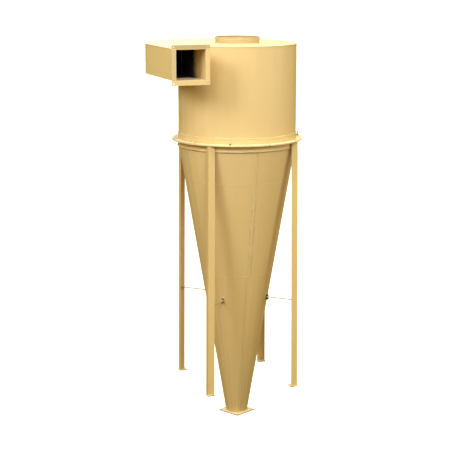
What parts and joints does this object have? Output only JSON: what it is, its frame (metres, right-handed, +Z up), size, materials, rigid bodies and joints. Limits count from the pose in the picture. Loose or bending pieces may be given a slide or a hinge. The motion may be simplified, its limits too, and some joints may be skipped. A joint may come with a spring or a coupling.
{
  "type": "cyclone separator",
  "caption": "Sheet steel cyclone separator with a scroll inlet at the top, a long cone and angle iron legs that stand on a raised platform.",
  "frame": {"origin": "under the heel of the front left leg, on the underside of its foot plate, at the platform's level; the cyclone's vertical axis is at X = Y = 0.367 m", "axes": "+Z up the cyclone's axis; the inlet's mouth faces -Y, with the duct on the -X side; +X to the right"},
  "size_m": [1.202, 1.2359, 2.968],
  "materials": {
    "painted_sheet": "satin enamel over rolled and welded steel sheet",
    "painted_angle": "satin enamel over rolled steel sections and plate"
  },
  "bodies": {
    "root": {"roof_plate": "painted_sheet", "outlet_pipe": "painted_sheet", "outlet_hoop": "painted_angle", "barrel_shell": "painted_sheet", "scroll_floor": "painted_sheet", "scroll_wall": "painted_sheet", "duct_outer_wall": "painted_sheet", "duct_inner_wall": "painted_sheet", "mouth_bar_top": "painted_angle", "mouth_bar_inner": "painted_angle", "mouth_bar_bottom": "painted_angle", "mouth_bar_outer": "painted_angle", "barrel_ring": "painted_angle", "cone_ring": "painted_angle", "cone_upper": "painted_sheet", "cone_middle": "painted_sheet", "cone_lower": "painted_sheet", "discharge_flange": "painted_angle", "leg_front_left": "painted_angle", "foot_plate_front_left": "painted_angle", "tie_lug_front_left": "painted_angle", "tie_rod_front_left": "painted_angle", "leg_front_right": "painted_angle", "foot_plate_front_right": "painted_angle", "tie_lug_front_right": "painted_angle", "tie_rod_front_right": "painted_angle", "leg_back_right": "painted_angle", "foot_plate_back_right": "painted_angle", "tie_lug_back_right": "painted_angle", "tie_rod_back_right": "painted_angle", "leg_back_left": "painted_angle", "foot_plate_back_left": "painted_angle", "tie_lug_back_left": "painted_angle", "tie_rod_back_left": "painted_angle"}
  },
  "joints": []
}
